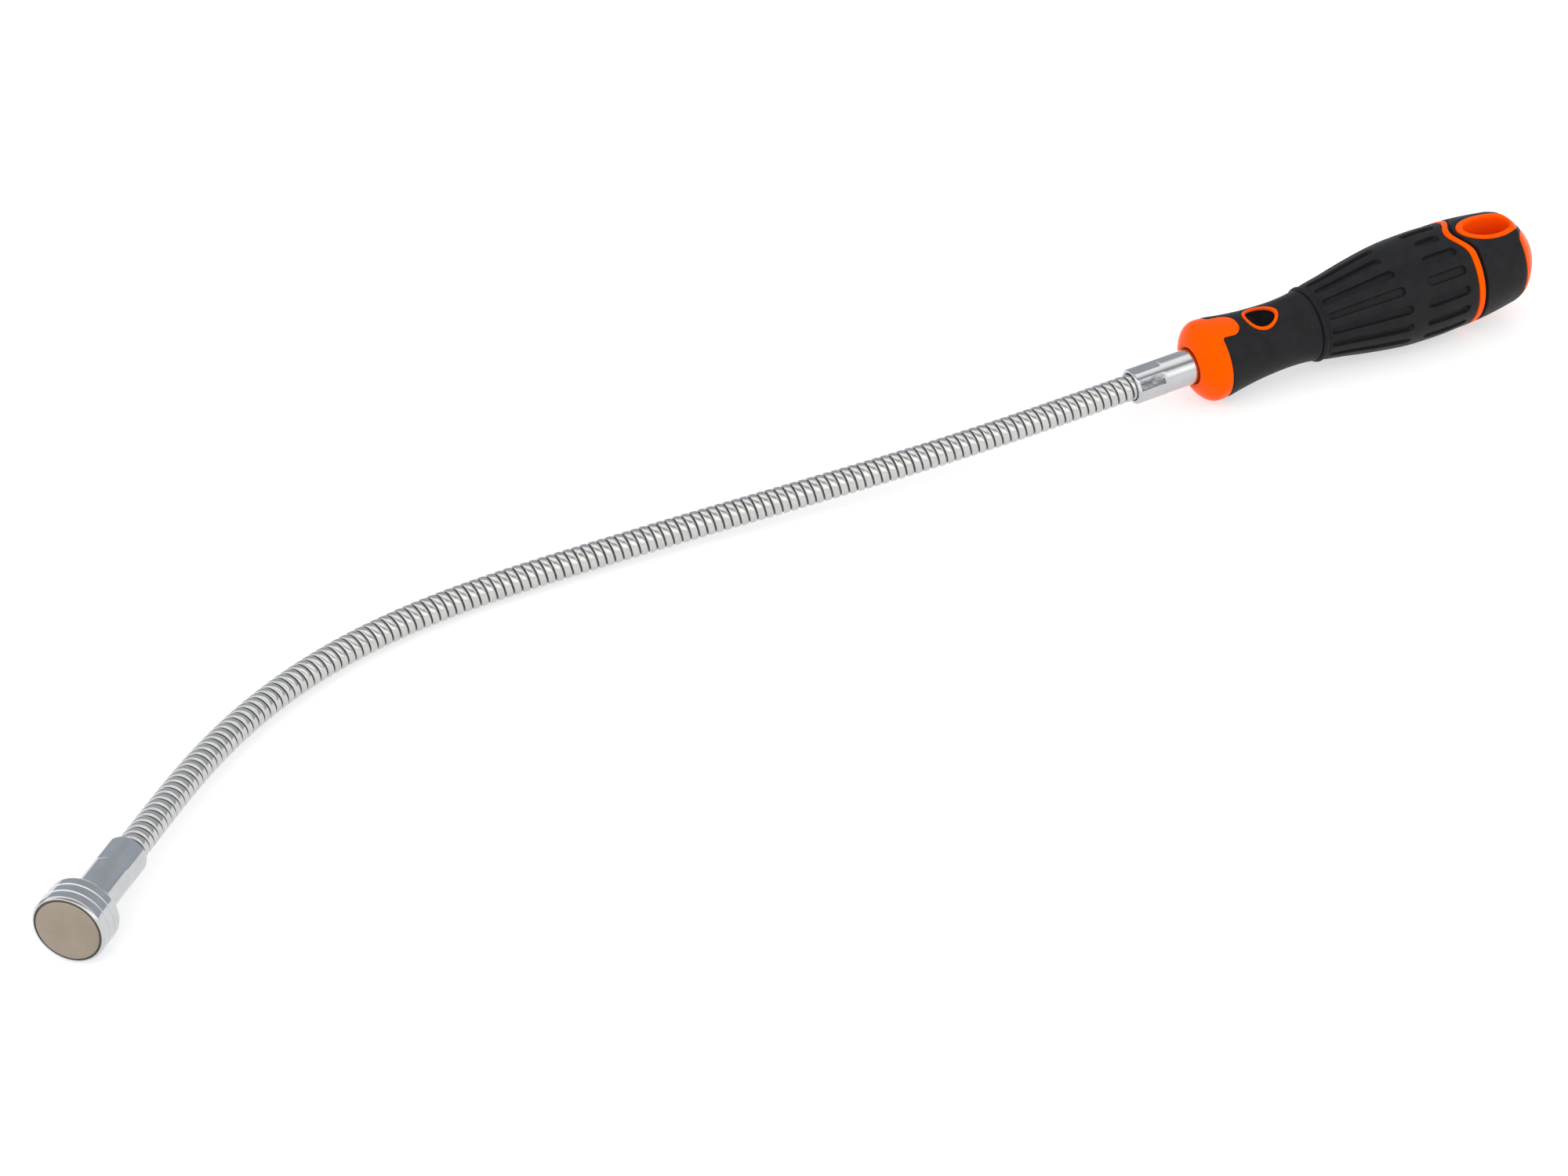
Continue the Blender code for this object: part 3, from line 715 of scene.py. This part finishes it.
def build_nose(shell):
    """Nose ring with its tab, from the ferrule's hole to the seam of the front grip."""
    profile = [(NOSE_FACE_X + 4.0, 5.9), (NOSE_FACE_X + 0.7, 5.9), (NOSE_FACE_X + 0.2, 6.05),
               (NOSE_FACE_X + 0.02, 6.4)]
    for angle in np.linspace(0.1, math.pi / 2, 24):
        reach = math.cos(angle)
        x = NOSE_CREST_X - reach * (NOSE_CREST_X - NOSE_FACE_X)
        rise = (NOSE_RADIUS - NOSE_ROOT_RADIUS) * (1.0 - reach**2) ** 0.85
        profile.append((x, NOSE_ROOT_RADIUS + rise))
    behind = np.arange(NOSE_CREST_X + 0.2, TAB_END_X + 0.5, 0.22)
    x_values = np.concatenate([[x for x, _ in profile], behind])
    x, theta = skin_grid(x_values, columns_for(11.5))
    seam = seam_distance(x, theta)
    radius = np.array([r for _, r in profile] + list(handle_radius(behind)))[:, None]
    radius = np.where(x > NOSE_CREST_X, radius + 0.03 - edge_roll(-seam, 0.2, 0.5), radius)
    keep = np.where(np.arange(len(x_values))[:, None] < len(profile), 1.0, -seam)
    shell.cut_grid(on_handle(x, theta, radius), keep)


def build_rib(shell):
    """Raised seam line that dips round the hanging hole."""
    section = rounded([(RIB_START_X, -3.0), (RIB_START_X, 0.05), (RIB_END_X, 0.05),
                       (RIB_END_X, -3.0)], 0.5, 6)
    theta = np.arange(360) * TAU / 360
    rows = []
    for x, lift in section:
        along = x + dip(theta)
        rows.append(on_handle(along, theta, handle_radius(along) + lift))
    shell.grid(rows, wrap_rows=True)


def build_hole_lining(shell):
    """Rounded mouths of the hanging hole and the wall that joins them."""
    angle = np.arange(180) * TAU / 180
    inner_x, inner_y = level_curve(hole_level(HOLE_INNER), HOLE_CENTRE_X, angle)
    outer_x, outer_y = level_curve(hole_level(HOLE_OUTER), HOLE_CENTRE_X, angle)

    def ring_row(share, lift, side):
        x = inner_x + (outer_x - inner_x) * share
        y = inner_y + (outer_y - inner_y) * share
        return np.stack([x, y, side * (surface_height(x, y) + lift)], -1)

    profile = [(1.0, -2.2), (1.0, -0.2), (0.97, -0.04), (0.88, 0.1), (0.72, 0.16), (0.5, 0.12),
               (0.33, 0.0), (0.2, -0.2), (0.1, -0.48), (0.03, -0.9), (0.0, -1.5)]
    top = [ring_row(share, lift, 1.0) for share, lift in profile]
    low = [ring_row(share, lift, -1.0) for share, lift in profile]
    inside = [top[-1] + (low[-1] - top[-1]) * t for t in np.linspace(0.0, 1.0, 12)[1:-1]]
    shell.grid(top + inside + low[::-1], wrap_rows=True)


def build_window_ring(shell):
    """Thin raised rim round the window."""
    angle = np.arange(120) * TAU / 120
    outer_x, outer_y = level_curve(window_level(WINDOW_OUTER), WINDOW_CENTRE_X, angle)
    inner_x, inner_y = level_curve(window_level(WINDOW_INNER), WINDOW_CENTRE_X, angle)
    rows = []
    for share, lift in ((0.0, -3.0), (0.0, -0.2), (0.06, -0.03), (0.25, 0.08), (0.5, 0.1),
                        (0.75, 0.05), (0.94, -0.1), (1.0, -0.35), (1.0, -3.0)):
        x = outer_x + (inner_x - outer_x) * share
        y = outer_y + (inner_y - outer_y) * share
        rows.append(np.stack([x, y, surface_height(x, y) + lift], -1))
    shell.grid(rows, wrap_rows=True)


def build_butt(shell):
    """Blunt rear end, running up to the back edge of the rear grip."""
    theta = np.arange(240) * TAU / 240
    start = REAR_GRIP_END_X + SEAM + bulge(theta)
    rows = []
    for inset, drop in ((-0.6, 3.0), (-0.3, 1.0), (0.0, 0.25), (0.15, 0.06)):
        x = start + inset
        rows.append(on_handle(x, theta, handle_radius(x) - drop))
    for t in np.linspace(0.04, 1.0, 40):
        x = start + (BUTT_TIP_X - start) * math.sin(t * math.pi / 2) ** 0.8
        radius = np.maximum(handle_radius(x), 0.003)
        if t > 0.99:
            radius = np.full(len(theta), 0.01)
        rows.append(on_handle(x, theta, radius))
    shell.grid(rows, caps=True)


def build_core(material):
    """Orange moulding: every part of it that shows between the grips, and the body inside."""
    nose = Shell()
    build_nose(nose)
    item = nose.make("handle_core", material, handle_to_row, thickness=GRIP_THICKNESS)
    shell = Shell()
    body = [(34.5, 6.1), (34.5, 8.4), (68.0, 8.4), (78.0, 10.3), (90.0, 12.3), (104.0, 13.3),
            (117.0, 13.3), (117.2, 6.1)]
    shell.grid(turned_rows(body, 96), wrap_rows=True)
    build_rib(shell)
    build_hole_lining(shell)
    build_window_ring(shell)
    build_butt(shell)
    rest = shell.make("core_rest", material, handle_to_row)
    return join(item, rest)


def join(item, other):
    """Moves the other object's mesh into item."""
    bm = bmesh.new()
    bm.from_mesh(item.data)
    bm.from_mesh(other.data)
    bm.to_mesh(item.data)
    bm.free()
    bpy.data.objects.remove(other, do_unlink=True)
    return item


def build_window_insert(material):
    """Glossy dished plug in the window."""
    shell = Shell()
    angle = np.arange(120) * TAU / 120
    edge_x, edge_y = level_curve(window_level(WINDOW_INNER), WINDOW_CENTRE_X, angle, -0.03)
    rows = []
    profile = [(0.001, -1.95), (0.25, -1.92), (0.5, -1.82), (0.7, -1.62), (0.84, -1.35),
               (0.93, -1.1), (0.98, -0.95), (1.0, -0.9), (1.0, -3.2), (0.001, -3.2)]
    for share, lift in profile:
        x = WINDOW_CENTRE_X + (edge_x - WINDOW_CENTRE_X) * share
        y = edge_y * share
        rows.append(np.stack([x, y, surface_height(x, y) + lift], -1))
    shell.grid(rows, caps=True)
    return shell.make("window_insert", material, handle_to_row)


# ---------------------------------------------------------------- metal shapes

FLAT_DISTANCE = 5.36
FLAT_START = 0.55
FLAT_FULL_END = 9.5
FLAT_RUN_OUT = 0.45
FLAT_LIMIT = 12.5
FLAT_RADII = (5.2, 5.7)
TUBE_RADIUS = 5.65
TUBE_BORE = 4.45
MOUTH_RADIUS = 5.25
MOUTH_ROLL = 0.42
FERRULE_ROLL = math.radians(-7.5)
HEAD_ROLL = math.radians(13.4)


def flattened(mouth):
    """Presses six flats into a tube, which run out toward its far end."""
    def shape(x, radius, theta):
        along = x - mouth
        step = TAU / 6
        away = (theta + step / 2) % step - step / 2
        run = np.maximum(along - FLAT_FULL_END, 0.0) * FLAT_RUN_OUT
        limit = (FLAT_DISTANCE + run) / np.cos(away)
        outer_wall = (radius > FLAT_RADII[0]) & (radius < FLAT_RADII[1])
        pressed = outer_wall & (along > FLAT_START - 0.3) & (along < FLAT_LIMIT)
        return x, np.where(pressed, np.minimum(radius, limit), radius)
    return shape


def roll_x(angle):
    return np.array(Matrix.Rotation(angle, 3, 'X'))


def paint_flat_reflections(item, shell, material):
    """Gives the faces on every other pressed flat the material with painted dark reflection."""
    item.data.materials.append(material)
    points = np.concatenate(shell.points)
    step = TAU / 6
    for number, face in enumerate(shell.faces):
        x, y, z = points[face].mean(axis=0)
        angle = math.atan2(y, z)
        flat = round(angle / step)
        away = angle - flat * step
        on_plane = abs(math.hypot(y, z) * math.cos(away) - FLAT_DISTANCE) < 0.012
        if on_plane and flat % 2 and FLAT_START + 0.5 < x - FERRULE_FRONT_X < FLAT_FULL_END:
            item.data.polygons[number].material_index = 1


def ferrule_to_row(points):
    return handle_to_row(points @ roll_x(FERRULE_ROLL).T)


def build_ferrule(material, pressed):
    """Tube with six crimped flats, from the neck into the handle's nose."""
    front = FERRULE_FRONT_X
    outline = rounded([(front + 6.0, TUBE_BORE), (front + 0.05, TUBE_BORE), (front, MOUTH_RADIUS),
                       (front + MOUTH_ROLL, TUBE_RADIUS), (front + 12.6, TUBE_RADIUS)], 0.2, 4)
    outline = outline[:-1] + [(front + x, TUBE_RADIUS) for x in np.linspace(0.8, 18.0, 70)]
    outline += [(front + 24.0, TUBE_RADIUS), (front + 24.0, TUBE_BORE)]
    shell = Shell()
    shell.grid(turned_rows(outline, 192, flattened(front)), wrap_rows=True)
    item = shell.make("ferrule", material, ferrule_to_row, sharp_angle=30.0)
    # Every other flat gets a darker colour: painted dark reflection
    paint_flat_reflections(item, shell, pressed)
    return item


def head_to_row(points):
    """Head coordinates (x along its axis, away from the neck) to the row frame."""
    direction = Vector(neck_direction(NECK_ARC))
    side = Vector((0.0, 0.0, 1.0)).cross(direction).normalized()
    up = direction.cross(side)
    turn = np.array(Matrix((direction, side, up)).transposed())
    return (points @ roll_x(HEAD_ROLL).T) @ turn.T + path_point(NECK_ARC) + SHIFT


# Head, in millimetres along its own axis from the neck's end
CUP_BACK_X = 24.4
CUP_RIM_X = 33.7
CUP_RADIUS = 9.88
CUP_BORE = 9.05
CUP_FLOOR_X = 28.5
CUP_GROOVE_PLACES = (27.7, 30.5)
CUP_GROOVE_DEPTH = 0.24
MAGNET_SEAT_X = 28.7
MAGNET_FACE_X = 33.9
MAGNET_RADIUS = 8.62
SLEEVE_RADII = (8.68, 9.0)
SLEEVE_END_X = 33.45


def cup_neck_outline():
    """The crimped tube that joins the cup to the neck, and the fillet behind the cup."""
    mouth = rounded([(6.0, TUBE_BORE), (0.05, TUBE_BORE), (0.0, MOUTH_RADIUS),
                     (MOUTH_ROLL, TUBE_RADIUS), (12.6, TUBE_RADIUS)], 0.2, 4)[:-1]
    tube = [(x, TUBE_RADIUS) for x in np.linspace(0.8, 14.0, 56)] + [(23.4, TUBE_RADIUS)]
    fillet = rounded([(23.6, TUBE_RADIUS), (CUP_BACK_X, TUBE_RADIUS + 0.1),
                      (CUP_BACK_X, 8.6)], 0.6, 6)
    return mouth + tube + fillet


def cup_wall_outline():
    """The cup's shoulder, its turned grooves, and its rim down into the bore."""
    shoulder = rounded([(CUP_BACK_X, 8.8), (CUP_BACK_X + 0.1, CUP_RADIUS - 0.35),
                        (CUP_BACK_X + 0.8, CUP_RADIUS), (25.6, CUP_RADIUS)], 0.5, 5)
    grooves = []
    for middle in CUP_GROOVE_PLACES:
        grooves += [(middle - 0.34, CUP_RADIUS), (middle - 0.16, CUP_RADIUS - CUP_GROOVE_DEPTH),
                    (middle + 0.16, CUP_RADIUS - CUP_GROOVE_DEPTH), (middle + 0.34, CUP_RADIUS)]
    front = rounded([(31.3, CUP_RADIUS), (CUP_RIM_X - 0.75, CUP_RADIUS),
                     (CUP_RIM_X, CUP_RADIUS - 0.45), (CUP_RIM_X, CUP_BORE + 0.1),
                     (CUP_RIM_X - 0.3, CUP_BORE), (CUP_FLOOR_X, CUP_BORE)], 0.22, 4)
    return shoulder + grooves + front


def build_cup(material):
    """Chrome head: a crimped tube that opens into the magnet's cup."""
    outline = cup_neck_outline() + cup_wall_outline() + [(CUP_FLOOR_X, TUBE_BORE)]
    shell = Shell()
    shell.grid(turned_rows(outline, 192, flattened(0.0)), wrap_rows=True)
    return shell.make("magnet_cup", material, head_to_row, sharp_angle=30.0)


def build_magnet(material):
    """Disc with a rounded edge, a little proud of the cup's rim."""
    outline = rounded([(MAGNET_SEAT_X, 0.02), (MAGNET_SEAT_X, MAGNET_RADIUS),
                       (MAGNET_FACE_X, MAGNET_RADIUS),
                       (MAGNET_FACE_X, MAGNET_RADIUS - 1.5)], 0.4, 6)
    outline += [(MAGNET_FACE_X, radius) for radius in (6.0, 4.0, 2.0, 0.02)]
    shell = Shell()
    shell.grid(turned_rows(outline, 144), caps=True)
    return shell.make("magnet", material, head_to_row)


def build_sleeve(material):
    """Thin dark ring between the magnet and the cup."""
    inner, outer = SLEEVE_RADII
    outline = rounded([(MAGNET_SEAT_X, inner), (MAGNET_SEAT_X, outer),
                       (SLEEVE_END_X, outer), (SLEEVE_END_X, inner)], 0.08, 3)
    shell = Shell()
    shell.grid(turned_rows(outline, 144), wrap_rows=True)
    return shell.make("magnet_sleeve", material, head_to_row)


# ---------------------------------------------------------------- neck

BAND_PER_TURN = 36
COIL_PER_TURN = 24


def path_frames(arc):
    """Centre of the neck, with its side and up vectors, at an array of arc lengths."""
    centre = path_point(arc)
    ahead = path_point(arc + 0.6) - path_point(arc - 0.6)
    ahead /= np.linalg.norm(ahead, axis=-1, keepdims=True)
    side = np.cross(ahead, (0.0, 0.0, 1.0))
    side /= np.linalg.norm(side, axis=-1, keepdims=True)
    up = np.cross(side, ahead)
    return centre, side, up


def helix_rows(first_arc, last_arc, per_turn, section):
    """Rows of points of a wire wound right-handed round the neck; section is (along, radius)."""
    first = round(first_arc / TURN_PITCH * per_turn)
    last = round(last_arc / TURN_PITCH * per_turn)
    steps = np.arange(first, last + 1)
    arc = steps * TURN_PITCH / per_turn
    angle = steps * TAU / per_turn
    cosine, sine = np.cos(angle)[:, None], np.sin(angle)[:, None]
    rows = np.zeros((len(steps), len(section), 3))
    for k, (along, radius) in enumerate(section):
        centre, side, up = path_frames(arc + along)
        # side points away from the camera, so the winding starts at -side
        rows[:, k] = centre + radius * (cosine * -side + sine * up)
    return rows + SHIFT


BAND_SECTION = ((-1.08, 3.3), (-1.11, 3.78), (-1.0, 4.02), (-0.78, 4.13), (-0.42, 4.19),
                (0.42, 4.19), (0.78, 4.13), (1.0, 4.02), (1.11, 3.78), (1.08, 3.3))
COIL_RADIUS = 2.75
WIRE_RADIUS = 0.95


def build_neck(band_material, coil_material):
    """Short runs of the two wires, each centred on one joint of the CAD neck."""
    circle = [(TURN_PITCH / 2 + WIRE_RADIUS * math.cos(a), COIL_RADIUS + WIRE_RADIUS * math.sin(a))
              for a in np.arange(8) * TAU / 8]
    for number in range(1, JOINT_COUNT + 1):
        middle = FIRST_JOINT_ARC + JOINT_SPACING * (number - 1)
        start, end = middle - JOINT_SPACING / 2, middle + JOINT_SPACING / 2
        first = start - (STUB_LENGTH if number == 1 else 0.0)
        last = end + (STUB_LENGTH if number == JOINT_COUNT else 0.0)
        for kind, per_turn, section, material in (
                ("wrap", BAND_PER_TURN, BAND_SECTION, band_material),
                ("spring", COIL_PER_TURN, circle, coil_material)):
            shell = Shell()
            shell.grid(helix_rows(first, last, per_turn, section), caps=True)
            piece = shell.make(f"neck_{kind}_run_{number:02d}", material)
            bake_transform(piece)
            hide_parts(f"neck_{kind}_{number:02d}")
            if number == 1:
                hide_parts(f"neck_{kind}_00", f"neck_{kind}_01")


# ---------------------------------------------------------------- stage

CAMERA_PLACE = (-386.1, -713.6, 463.98)
CAMERA_LOOK = (0.299295, 0.788993, -0.536575)
CAMERA_UP = (0.284316, 0.463062, 0.839487)
FOCAL_PIXELS = 3817.2
IMAGE_WIDTH = 2000.0
SENSOR_WIDTH = 36.0


def build_camera():
    """Camera fitted to the photo's outlines, with its place in millimetres."""
    camera = bpy.data.cameras.new("camera")
    camera.sensor_width = SENSOR_WIDTH
    camera.lens = FOCAL_PIXELS / IMAGE_WIDTH * SENSOR_WIDTH
    camera.clip_start = 0.01
    item = bpy.data.objects.new("camera", camera)
    bpy.context.collection.objects.link(item)
    look, up = Vector(CAMERA_LOOK).normalized(), Vector(CAMERA_UP)
    right = look.cross(up).normalized()
    up = right.cross(look)
    turn = Matrix((right, up, -look)).transposed().to_4x4()
    place = Vector((np.array(CAMERA_PLACE) + SHIFT) * MM)
    item.matrix_world = Matrix.Translation(place) @ turn
    bpy.context.scene.camera = item


def add_light(name, place, target, size, power):
    """Soft light that shapes the plastic; the metal shows the world's bands instead."""
    light = bpy.data.lights.new(name, 'AREA')
    light.shape = 'RECTANGLE'
    light.size, light.size_y = size
    light.energy = power
    item = bpy.data.objects.new(name, light)
    bpy.context.collection.objects.link(item)
    item.location = place
    direction = Vector(target) - Vector(place)
    item.rotation_euler = direction.to_track_quat('-Z', 'Y').to_euler()
    item.visible_glossy = False


# Studio walls by how far a direction leans from straight up toward the front, in degrees:
# grey behind, a white strip overhead, a dark gap, then a broad white screen in front
FRONT_DIRECTION = (-0.52, -0.854, 0.0)
STUDIO_BANDS = (
    (-180.0, (0.9, 0.9, 0.9)), (-118.0, (0.85, 0.85, 0.85)), (-98.0, (0.62, 0.64, 0.68)),
    (-85.0, (0.50, 0.54, 0.60)), (-60.0, (0.56, 0.60, 0.66)), (-44.0, (0.52, 0.54, 0.57)),
    (-36.0, (0.66, 0.66, 0.67)), (-24.0, (1.56, 1.56, 1.56)), (-8.0, (1.46, 1.46, 1.46)),
    (0.0, (1.2, 1.2, 1.2)), (10.0, (0.42, 0.42, 0.43)), (17.0, (0.42, 0.42, 0.43)),
    (31.0, (1.4, 1.4, 1.4)), (45.0, (1.85, 1.85, 1.85)), (58.0, (1.75, 1.75, 1.75)),
    (72.0, (1.3, 1.3, 1.3)), (90.0, (1.0, 1.0, 1.0)), (180.0, (0.9, 0.9, 0.9)),
)


def build_world():
    """The unseen studio round the tool, which is what its metal reflects."""
    world = bpy.data.worlds.new("studio")
    bpy.context.scene.world = world
    world.use_nodes = True
    tree = world.node_tree
    background = tree.nodes["Background"]
    coordinates = tree.nodes.new("ShaderNodeTexCoord")
    split = tree.nodes.new("ShaderNodeSeparateXYZ")
    forward = tree.nodes.new("ShaderNodeVectorMath")
    forward.operation = 'DOT_PRODUCT'
    forward.inputs[1].default_value = FRONT_DIRECTION
    lean = tree.nodes.new("ShaderNodeMath")
    lean.operation = 'ARCTAN2'
    share = tree.nodes.new("ShaderNodeMapRange")
    share.inputs["From Min"].default_value = -math.pi
    share.inputs["From Max"].default_value = math.pi
    ramp = tree.nodes.new("ShaderNodeValToRGB")
    tree.links.new(coordinates.outputs["Generated"], split.inputs["Vector"])
    tree.links.new(coordinates.outputs["Generated"], forward.inputs[0])
    tree.links.new(forward.outputs["Value"], lean.inputs[0])
    tree.links.new(split.outputs["Z"], lean.inputs[1])
    tree.links.new(lean.outputs["Value"], share.inputs["Value"])
    tree.links.new(share.outputs["Result"], ramp.inputs["Fac"])
    tree.links.new(ramp.outputs["Color"], background.inputs["Color"])
    elements = ramp.color_ramp.elements
    while len(elements) < len(STUDIO_BANDS):
        elements.new(0.5)
    for element, (degrees, colour) in zip(elements, STUDIO_BANDS):
        element.position = (degrees + 180.0) / 360.0
        element.color = (*colour, 1.0)
    background.inputs["Strength"].default_value = 1.0


FLOOR_REACH = 6.0
FLOOR_HEIGHT = -0.0004


def build_floor():
    """A frosted white table lit from below, so that it stays white under the tool."""
    look = Looks("pale_floor", (0.5, 0.5, 0.5), 0.0, 0.6)
    look.colours(look.noise(3.0), (0.49, 0.49, 0.49), (0.51, 0.51, 0.51))
    look.set("Specular IOR Level", 0.0)
    look.set("Emission Color", (1.0, 1.0, 1.0, 1.0))
    look.set("Emission Strength", 0.56)
    mesh = bpy.data.meshes.new("floor")
    corners = [(x * FLOOR_REACH, y * FLOOR_REACH, FLOOR_HEIGHT)
               for x, y in ((-1, -1), (1, -1), (1, 1), (-1, 1))]
    mesh.from_pydata(corners, [], [(0, 1, 2, 3)])
    mesh.materials.append(look.material)
    floor = bpy.data.objects.new("floor", mesh)
    bpy.context.collection.objects.link(floor)


def build_stage():
    build_world()
    build_floor()
    add_light("key", (-0.9, -1.3, 1.6), (0.0, 0.0, 0.0), (2.4, 2.0), 7.0)
    add_light("fill", (1.3, -0.9, 1.1), (0.1, 0.0, 0.0), (2.0, 2.0), 4.0)
    add_light("back", (0.2, 1.6, 1.2), (0.0, 0.0, 0.0), (2.8, 1.6), 3.0)
    scene = bpy.context.scene
    scene.view_settings.view_transform = 'Standard'
    scene.view_settings.look = 'None'


# ---------------------------------------------------------------- assembly

def stand_for(piece, body, slot, *nodes):
    """The piece follows a body of the frame and is shown in place of its CAD nodes."""
    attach(piece, body)
    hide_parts(*nodes)


def build_tool():
    orange, grip, gloss = orange_look(), grip_look(), gloss_black_look()
    # pressed: chrome darkened with painted reflection, for every other crimped flat
    chrome, pressed, nickel = chrome_look(), painted_reflection_look(), magnet_look()
    stand_for(build_core(orange), "handle", "orange_plastic", "handle_core")
    stand_for(build_front_grip(grip), "handle", "black_grip", "front_grip")
    stand_for(build_main_grip(grip), "handle", "black_grip", "main_grip")
    stand_for(build_rear_grip(grip), "handle", "black_grip", "rear_grip")
    stand_for(build_window_insert(gloss), "handle", "black_gloss", "window_insert")
    stand_for(build_ferrule(chrome, pressed), "handle", "chrome", "ferrule")
    stand_for(build_cup(chrome), "head", "chrome", "magnet_cup")
    stand_for(build_magnet(nickel), "head", "magnet_nickel", "magnet")
    stand_for(build_sleeve(sleeve_look()), "head", "black_gloss", "magnet_sleeve")
    build_neck(wrap_look(), spring_look())
    shank = frame["nodes"]["shank"]
    for slot in shank.material_slots:
        slot.material = shank_look()


build_tool()
build_stage()
build_camera()
